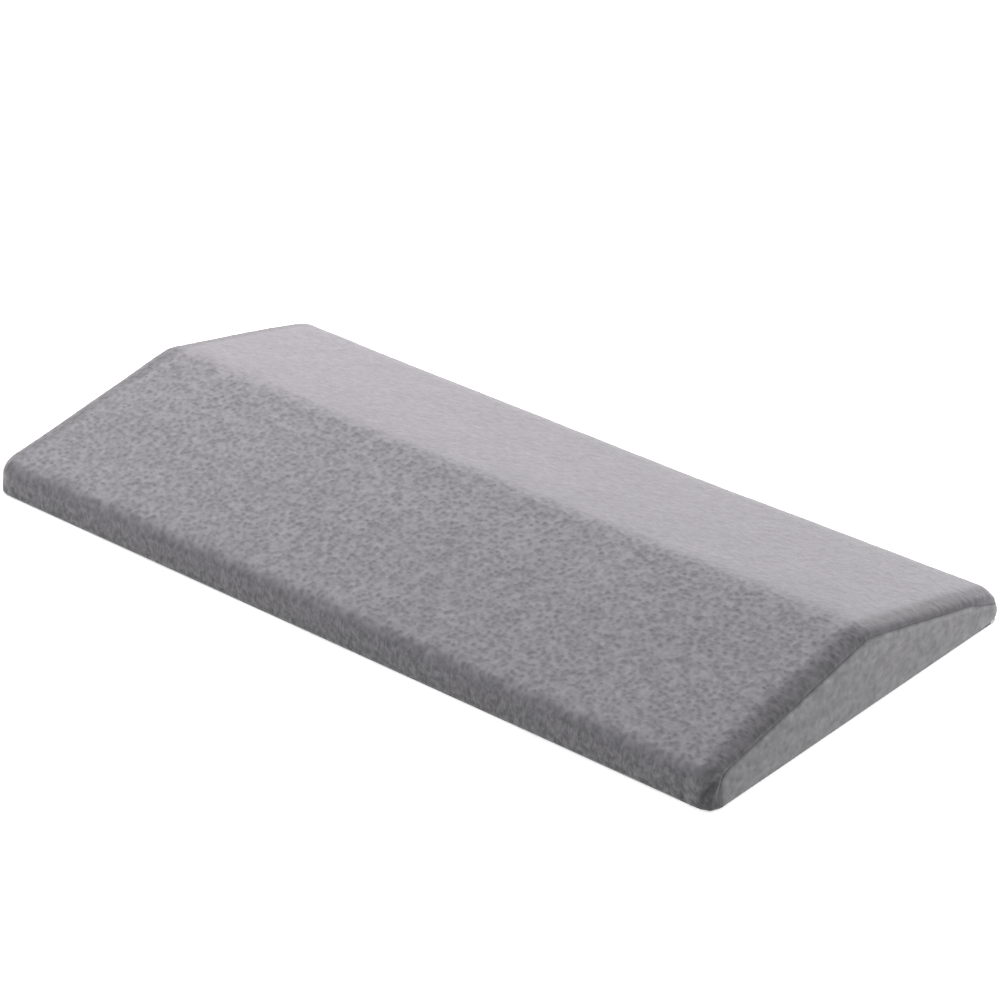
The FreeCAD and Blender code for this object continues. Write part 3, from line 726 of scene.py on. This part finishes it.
def offset_loop(loop, distance):
    """A closed 2-D loop moved to its left, which is inward for an anticlockwise one."""
    t = unit(np.roll(loop, -1, 0) - np.roll(loop, 1, 0))
    return loop + np.stack([-t[:, 1], t[:, 0]], -1) * distance


def plate(loops, steps, place):
    """A plate with rounded edges. steps lists (inset, height) from its lower face to its upper one;
    place turns (a, b, height) into a point."""
    bm = bmesh.new()
    rims = {0: [], len(steps) - 1: []}
    for loop in loops:
        rings = [[bm.verts.new(place(a, b, height)) for a, b in offset_loop(loop, inset)] for inset, height in steps]
        for lower, upper in zip(rings, rings[1:]):
            for corners in zip(lower, lower[1:] + lower[:1], upper[1:] + upper[:1], upper):
                bm.faces.new(corners)
        for k in rims:
            rims[k] += [bm.edges.get(ends) for ends in zip(rings[k], rings[k][1:] + rings[k][:1])]
    for edges in rims.values():
        bmesh.ops.triangle_fill(bm, use_beauty=True, edges=edges)
    bm.verts.index_update()
    verts = np.array([v.co[:] for v in bm.verts])
    faces = [[v.index for v in f.verts] for f in bm.faces]
    bm.free()
    return verts, faces


def soft_steps(low, high, bevel, recess=0.0, rim=0.0):
    """Heights and insets of a plate with rounded edges, and perhaps a sunk field inside a rim."""
    half = [(bevel, low), (0.3 * bevel, low + 0.3 * bevel), (0.0, low + bevel)]
    half += [(0.0, high - bevel), (0.3 * bevel, high - 0.3 * bevel), (bevel, high)]
    if recess:
        half = [(rim + 0.2, low + recess), (rim, low)] + half + [(rim, high), (rim + 0.2, high - recess)]
    return half


def remeshed(obj, voxel, smoothing=4):
    """Join a piece's overlapping shells into one cast-looking skin."""
    remesh = obj.modifiers.new("Remesh", "REMESH")
    remesh.mode, remesh.voxel_size, remesh.use_smooth_shade = "VOXEL", voxel * MM, True
    relax = obj.modifiers.new("Smooth", "SMOOTH")
    relax.factor, relax.iterations = 0.5, smoothing
    old, graph = obj.data, bpy.context.evaluated_depsgraph_get()
    mesh = bpy.data.meshes.new_from_object(obj.evaluated_get(graph))
    obj.modifiers.clear()
    obj.data = mesh
    bpy.data.meshes.remove(old)
    mesh.name = obj.name


# ---- filling: foam core, liner and label ----
CORNERS = np.array([(FRONT, 0), (BACK, 0), (BACK, BACK_Z), (RIDGE_Y, RIDGE_Z), (FRONT, FRONT_Z)])


def section(inset, count=FILLING_RING):
    """A ring of YZ points round the pad's section, moved inward."""
    moves = np.array([inset, inset + BACK_ROOM, inset, inset, inset])
    along = unit(np.roll(CORNERS, -1, 0) - CORNERS)
    lines = CORNERS + np.stack([-along[:, 1], along[:, 0]], -1) * moves[:, None]
    points = []
    for a, d, b, e in zip(np.roll(lines, 1, 0), np.roll(along, 1, 0), lines, along):
        t = ((b[0] - a[0]) * e[1] - (b[1] - a[1]) * e[0]) / (d[0] * e[1] - d[1] * e[0])
        points.append(a + t * d)
    radii = [max(r - inset, 0.6) for r in (4.5, 4.5, 9.0, 27.0, 10.5)]
    path = rounded_path(points, radii, closed=True, arc_steps=12)
    return at_length(path, np.linspace(0, 1, count + 1)[:-1] * span(path))


def upright(x, ring):
    """A ring of YZ points stood at one X."""
    return np.column_stack([np.full(len(ring), x), ring])


def block_rings(inset, end_room, start, pitch=5.0, roll=7.0, reach=14.0):
    """Rings of the filling's outside from one X station to the middle of its right end."""
    foot = END - inset - end_room
    reach = min(reach, foot - start - 0.5)
    xs = np.linspace(start, foot - reach, max(2, int((foot - reach - start) / pitch) + 1))
    rings = [upright(x, section(inset)) for x in xs]
    for phi in np.linspace(0, math.pi / 2, 8)[1:]:
        ring = section(inset + roll * (1 - math.cos(phi)) * 0.98)
        rings.append(upright(foot - reach + reach * math.sin(phi), ring))
    middle, edge = np.array(END_MIDDLE), rings[-1][:, 1:]
    rings = np.array(rings + [upright(foot, middle + (edge - middle) * k) for k in np.linspace(1, 0.04, 12)[1:]])
    rings[..., 0] -= LEAN * rings[..., 2]
    return rings


def shell(outer, inner, capped):
    """A closed sheet between two runs of rings, open at its first ring."""
    n, m = outer.shape[:2]
    verts, faces = joined([ring_mesh(outer, caps=False), ring_mesh(inner, caps=False)])
    for k in range(m):
        for first in [0] if capped else [0, (n - 1) * m]:
            a, b = first + k, first + (k + 1) % m
            faces.append([a, b, n * m + b, n * m + a])
    if capped:
        faces.append(list(range((n - 1) * m, n * m)))
        faces.append(list(range(n * m + (n - 1) * m, 2 * n * m)))
    return verts, faces


def at_both_ends(*things):
    """Pieces for the right end, then their mirror images for the left one, from (stem, mesh, slot)."""
    return [piece(stem + side, (verts * [sign, 1, 1], faces), slot)
            for side, sign in (("right", 1), ("left", -1)) for stem, (verts, faces), slot in things]


def foam_core():
    half = block_rings(2.7, 1.2, 0.0)
    core = piece("foam_core", ring_mesh(np.concatenate([(half[1:] * MIRROR)[::-1], half])), "foam")
    points, up = np.zeros((2, len(core.data.vertices), 3))
    core.data.vertices.foreach_get("co", points.ravel())
    core.data.vertex_normals.foreach_get("vector", up.ravel())
    x, y, z = (points / MM).T
    dent = 0.12 * (waves(x + z, y, 7, 31) - 1)
    core.data.vertices.foreach_set("co", ((points / MM + up * dent[:, None]) * MM).ravel())


def liner():
    outside, inside, room = 1.95, 2.35, 1.0
    xs = np.linspace(-LINER_SEAM, LINER_SEAM, 116)
    tubes = [np.stack([upright(x, section(inset)) for x in xs]) for inset in (outside, inside)]
    ripple = 0.05 * waves(tubes[0][..., 0], tubes[0][..., 1] + tubes[0][..., 2], 11, 33)
    for rings in tubes:
        rings[..., 2] += ripple * np.sign(rings[..., 2] - 12)
    wrap = piece("liner_wrap", shell(*tubes, False), "liner")
    girth = float(span(np.vstack([section(outside), section(outside)[:1]])))
    cap = shell(*[block_rings(inset, room, LINER_SEAM + 0.4, pitch=3.0) for inset in (outside, inside)], True)
    ring = section(2.15, 400)
    thread = tube(upright(LINER_SEAM + 0.2, ring), (1, 0, 0), 0.1 + 0.05 * (np.arange(400) % 4 < 3), closed=True)
    for end in at_both_ends(("liner_end_", cap, "liner"), ("liner_thread_", thread, "thread_light"))[::2]:
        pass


def care_label():
    y, z = np.meshgrid(np.linspace(60, 90, 41), np.linspace(4, 13, 17), indexing="ij")
    x = END - LEAN * z - 2.03 - 0.06 * (1 + waves(y, z, 8, 41)) / 2
    grid = np.stack([x, y, z], -1)
    return cloth("care_label", grid, np.full(x.shape, 0.18), "label", grid[..., 1:] * MM)


# ---- underside and back ----
def bottom_panel():
    """The flat woven base, with rounded corners and a turned edge."""
    inset, turn = 0.9, 0.9  # room to the outline; radius of the turned edge
    a = symmetric(2 * END - 2 * inset, 0.5, 4.4, 14, 168) - END + inset
    b = symmetric(2 * BACK - 2 * inset, 0.5, 4.2, 14, 84) - BACK + inset
    x, y = np.meshgrid(a, b, indexing="ij")
    r = CORNER + 2.5
    cx, cy = END - inset - r, BACK - inset - r
    p, q = np.clip((np.abs(x) - cx) / r, 0, 1), np.clip((np.abs(y) - cy) / r, 0, 1)
    corner = (p > 0) & (q > 0)
    x = np.where(corner, np.sign(x) * (cx + r * p * np.sqrt(1 - q * q / 2)), x)
    y = np.where(corner, np.sign(y) * (cy + r * q * np.sqrt(1 - p * p / 2)), y)
    edge_x, edge_y = END - inset - np.abs(x), BACK - inset - np.abs(y)
    radial = r - np.hypot(np.abs(x) - cx, np.abs(y) - cy)
    edge = np.maximum(np.where(corner, radial, np.minimum(edge_x, edge_y)), 0)
    z = np.where(edge < turn, turn - np.sqrt(np.maximum(turn ** 2 - (turn - edge) ** 2, 0)), 0)
    z = z * 0.75 + 0.10 * (1 + waves(x, y, 26, 51)) * step(edge, 1, 12) + 0.12 * swell(edge, 1, 5.0, 0.9)
    grid = np.stack([x, y, z], -1)[::-1]
    thick = 0.45 + 0.75 * step(edge, 2.5, 6)[::-1]
    area = 4 * END * BACK - (4 - math.pi) * CORNER ** 2
    return cloth("cover_bottom_panel", grid, thick, "base_cloth", grid[..., :2] * MM), area * MM * MM


def back_sheet(name, half, pitch, z, y, thick, slot):
    """A long narrow sheet on the back: z and y list its profile from its lower edge up."""
    cells = int(round(2 * half / pitch / COARSE)) * COARSE
    x, z = np.meshgrid(np.linspace(half, -half, cells + 1), z, indexing="ij")
    grid = np.stack([x, y + 0.03 * waves(x, z, 9, 61), z], -1)
    # every sheet made here carries an even 0.3 in the plush's first shade channel; only the back strip's plush reads
    # it, darkening evenly with fibre streaks
    return cloth(name, grid, np.full(x.shape, thick), slot, grid[..., [0, 2]] * MM, {"bend": np.full(x.shape, 0.3)})


def strip_and_tapes():
    z = np.linspace(FOOT + 0.1, LIP_LOW, 9)
    y = BACK - 0.15 - 0.75 * np.abs(np.linspace(-1, 1, 9)) ** 3
    sheets = [back_sheet("cover_back_strip", ZIP_HALF - 0.6, 1.5, z, y, 1.0, "plush_end")]
    for name, inner, outer in (("zipper_tape_upper", 9.35, 15.4), ("zipper_tape_lower", 7.85, 2.6)):
        z = np.linspace(min(inner, outer), max(inner, outer), 21)
        edge = np.abs(z - inner)
        y = TAPE_Y - 0.04 * (1 - np.cos(edge * math.tau / 0.9)) * (edge > 0.5)
        sheets.append(back_sheet(name, TAPE_HALF, 2.0, z, y, 0.30, "zipper_tape"))
    return sheets


# ---- threads ----
def seam_line():
    """The right end seam: up the front, over the slopes, round the corner and along the back."""
    yz = at_length(SEAM, np.arange(0, span(SEAM), SEAM_STITCH))
    plan, _, top, _ = end_columns()
    late = plan[:, 1] > yz[-1, 0]
    xy = np.vstack([np.column_stack([foot_print(yz[:, 0]), yz[:, 0]]), plan[late]])
    line = np.column_stack([xy, np.concatenate([yz[:, 1], top[late]])])
    line = at_length(line, np.arange(0, span(line), SEAM_STITCH))
    normal = np.column_stack([facing(line[:, :2]), np.zeros(len(line))])
    line[:, 0] -= LEAN * line[:, 2] * normal[:, 0]
    return line, normal


def seam_threads():
    path, away = seam_line()
    beat = np.arange(len(path)) % 4
    depth = 1.62 + 0.12 * (beat == 0)
    thread = tube(path - away * depth[:, None], away, 0.17 + 0.07 * (beat > 0), 8)
    at_both_ends(("seam_thread_end_", thread, "thread_grey"))
    corner = rounded_path(mirrored([(-END, -BACK), (END, -BACK)]), [CORNER] * 4, closed=True)
    count = int(span(corner) / STITCH) * 4
    ring = at_length(corner, np.arange(count) * span(corner) / count)
    normal = facing(ring)
    beat = np.arange(count) % 4
    ring = ring - normal * (0.62 + 0.08 * (beat == 0))[:, None]
    path, away = np.insert(ring, 2, FOOT - 0.2, axis=1), np.insert(normal, 2, 0, axis=1)
    piece("seam_thread_bottom", tube(path, away, 0.16 + 0.06 * (beat > 0), closed=True), "thread_grey")


def stitches():
    """Two rows of short stitches that dip into the cloth at their ends, and the two bar tacks."""
    k = np.linspace(-1, 1, 9)
    for name, z in (("topstitch_upper", LIP_TOP + 1.58), ("topstitch_lower", LIP_LOW - 1.22)):
        row = []
        for i, x in enumerate(np.arange(STITCH - ZIP_HALF, ZIP_HALF - STITCH - 1.0, STITCH)):
            tilt = 0.08 * math.sin(i * 12.9898)
            path = np.column_stack([x + 1.4 + 1.38 * k, 147.02 + 0.26 * (1 - k ** 4), z + tilt * k])
            row.append(tube(path, (0, 1, 0), 0.19 - 0.06 * k ** 6, squash=0.8))
        piece(name, joined(row), "thread_grey")
    bars = []
    for i, z in enumerate(np.arange(4.45, 11.3, 0.36)):
        t = np.linspace(-1, 1, 7)
        path = np.column_stack([269.9 + 0.6 * t, 147.13 + 0.14 * (1 - t ** 4), z + 0.18 * (-1) ** i * t])
        bars.append(tube(path, (0, 1, 0), 0.15))
    at_both_ends(("bar_tack_", joined(bars), "thread_grey"))


# ---- zipper ----
def blunt(wave):
    """A sine wave with fuller crests."""
    return np.sign(wave) * np.abs(wave) ** 0.8


def coils():
    """Two interlocked nylon coils; each loop's head stands square to the chain."""
    samples = 16
    for name, side, lead in (("zipper_coil_upper", 1, 0.35), ("zipper_coil_lower", -1, 1.15)):
        loops = int((COIL_STOP - COIL_START - lead) / COIL_PITCH)
        t = np.arange(loops * samples + 1) / samples
        a = t * math.tau
        path = np.column_stack([COIL_START + lead + COIL_PITCH * (t + 0.14 * np.sin(a)),
                                COIL_Y + 0.44 * blunt(np.sin(a)), ZIP_Z + side * (0.8 + 1.08 * blunt(np.cos(a)))])
        piece(name, tube(path, (1, 0, 0), 0.25 + 0.03 * step(-np.cos(a), 0.6, 0.95)), "zipper_coil")


def stops():
    """Metal clips pressed round the tapes' edges."""
    back, front, slot_back, slot_front = 143.85, 146.65, 144.5, 145.2

    def clip(name, x, points):
        loop = rounded_loop(points, 0.22, 5)
        mesh = plate([loop], soft_steps(x, x + STOP_LENGTH, 0.3), lambda a, b, h: (h, a, b))
        piece(name, mesh, "stop_metal")

    def cup(near, far, floor):
        points = [(back, near), (front, near), (front, far), (slot_front, far), (slot_front, floor),
                  (slot_back, floor), (slot_back, far), (back, far)]
        return points if near < far else points[::-1]

    clip("zipper_top_stop_upper", TOP_STOP_X, cup(8.85, 10.75, 9.25))
    clip("zipper_top_stop_lower", TOP_STOP_X, cup(8.35, 6.45, 7.95))
    low = [(back, 6.45), (slot_back, 6.45), (slot_back, 7.95), (slot_front, 7.95), (slot_front, 6.45), (front, 6.45)]
    clip("zipper_bottom_stop", BOTTOM_STOP_X, low + [(a, 2 * ZIP_Z - b) for a, b in low[::-1]])


def slider():
    """Cast slider: two waisted plates, side flanges, a post and the bridge over the pull's bar; and its pull tab."""
    lift = lambda a, b, h: (a, h, b)
    shape = mirrored([(0.3, -3.1), (2.4, -3.55), (6.6, -3.3), (8.9, -2.3)]) + [(0.9, 0.9), (0.9, -0.9)]
    at = (SLIDER_X, ZIP_Z)
    loop = rounded_loop(shape, [0.7, 2, 2, 1.1, 1.1, 2, 2, 0.7, 0.4, 0.4], 7, at)
    post = rounded_loop(mirrored([(0.9, -0.42), (2.7, -0.42)]), 0.3, at=at)
    parts = [plate([loop], soft_steps(146.9, 147.9, 0.32), lift), plate([loop], soft_steps(143.45, 144.4, 0.3), lift),
             plate([post], [(0, 144.0), (0, 147.4)], lift)]
    for side in (-1, 1):
        rail = np.array([(1.7, 2.75), (7.6, 2.75), (7.6, 3.3), (4.6, 3.55), (1.7, 3.5)])[::side] * [1, side]
        parts.append(plate([rounded_loop(rail, 0.2, at=at)], [(0.1, 145.35), (0, 145.5), (0, 147.4)], lift))
    half, foot, shoulder, rise = 1.25, 147.3, 148.2, 1.15  # the bridge
    arch = [(PIVOT_X - half * math.cos(a), shoulder + rise * math.sin(a)) for a in np.linspace(0, math.pi, 21)]
    run = np.array([(PIVOT_X - half, foot), *arch, (PIVOT_X + half, foot)])
    run = at_length(run, np.linspace(0, span(run), 40))
    parts.append(bar(np.insert(run, 2, ZIP_Z, axis=1), np.array([PIVOT_X, 147.9, ZIP_Z]), 0.42, 1.05))
    remeshed(piece("slider_body", joined(parts), "slider_metal", "zipper_slider"), 0.11)

    at = (PIVOT_X, ZIP_Z)
    outline = mirrored([(-0.4, -2.7), (3.4, -2.75), (8.5, -2.0), (15.0, -2.2), (18.95, -2.7)])
    outer = rounded_loop(outline, [0.4, 3, 14, 14, 1.8, 1.8, 14, 14, 3, 0.4], 8, at)
    eye = rounded_loop([(0.45, -1.5), (0.45, 1.5), (2.4, 1.5), (2.4, -1.5)], 0.35, 6, at)
    angle = -np.linspace(0, math.tau, 33)[:-1]
    grip = np.column_stack([PIVOT_X + 15.6 + 1.1 * np.cos(angle), ZIP_Z + 1.1 * np.sin(angle)])
    tab = plate([outer, eye, grip], soft_steps(148.03, 148.87, 0.22, 0.14, 0.55), lift)
    remeshed(piece("pull_tab", tab, "slider_metal", "zipper_pull"), 0.1, 3)


def bar(path, middle, thick, half):
    """A flat bar that arches over a point, as a swept rounded section."""
    tangent = unit(np.gradient(path, axis=0))
    out = unit(path - middle)
    out = unit(out - (out * tangent).sum(-1, keepdims=True) * tangent)
    corner = rounded_loop(mirrored([(-thick, -half), (thick, -half)]), 0.3)
    return ring_mesh(path[:, None] + corner[None, :, :1] * out[:, None] + corner[None, :, 1:] * np.array([0, 0, 1.0]))


top, top_flat = top_panel()
ends = [end_panel(side) for side in ("right", "left")]
base, base_area = bottom_panel()
strip, upper_tape, lower_tape = strip_and_tapes()
label = care_label()
for build in (foam_core, liner, seam_threads, stitches, coils, stops, slider):
    build()


# ---- stage, light and camera ----
def camera():
    sin, cos = math.sin, math.cos
    yaw, pitch, roll = CAMERA_TURN
    forward = np.array([cos(pitch) * sin(yaw), cos(pitch) * cos(yaw), -sin(pitch)])
    level = np.array([cos(yaw), -sin(yaw), 0])
    over = np.cross(level, forward)
    right, up = cos(roll) * level + sin(roll) * over, cos(roll) * over - sin(roll) * level
    data = bpy.data.cameras.new("camera")
    data.sensor_width, data.lens = SENSOR, LENS
    data.clip_start, data.clip_end = 0.1, 50
    matrix = np.eye(4)
    matrix[:3, :3] = np.stack([right, up, -forward], -1)
    matrix[:3, 3] = CAMERA_PLACE
    obj = linked("camera", data)
    obj.matrix_world = Matrix(matrix.tolist())
    bpy.context.scene.camera = obj


def area_light(name, place, aim, side, power, colour):
    data = bpy.data.lights.new(name, "AREA")
    data.shape, data.size, data.size_y = "RECTANGLE", side, side
    data.energy, data.color = power, colour
    obj = linked(name, data)
    obj.location = place
    obj.visible_camera = False
    obj.rotation_mode = "QUATERNION"
    obj.rotation_quaternion = (Vector(aim) - Vector(place)).to_track_quat("-Z", "Y")


def floor():
    mesh, r = bpy.data.meshes.new("floor"), FLOOR_HALF
    mesh.from_pydata([(-r, -r, 0), (r, -r, 0), (r, r, 0), (-r, r, 0)], [], [(0, 1, 2, 3)])
    Shader("floor").set(Base_Color=(0.9, 0.9, 0.9, 1), Roughness=0.9, Specular_IOR_Level=0.1,
                        Emission_Color=(1, 1, 1, 1), Emission_Strength=FLOOR_GLOW)
    mesh.materials.append(LOOKS["floor"])
    linked("floor", mesh)


camera()
floor()
for light in LIGHTS:
    area_light(*light)
scene.view_settings.view_transform = "Standard"
world = scene.world = bpy.data.worlds.new("studio")
world.use_nodes = True
background = world.node_tree.nodes["Background"].inputs
background["Color"].default_value = (1, 1, 1, 1)
background["Strength"].default_value = WORLD_LIGHT
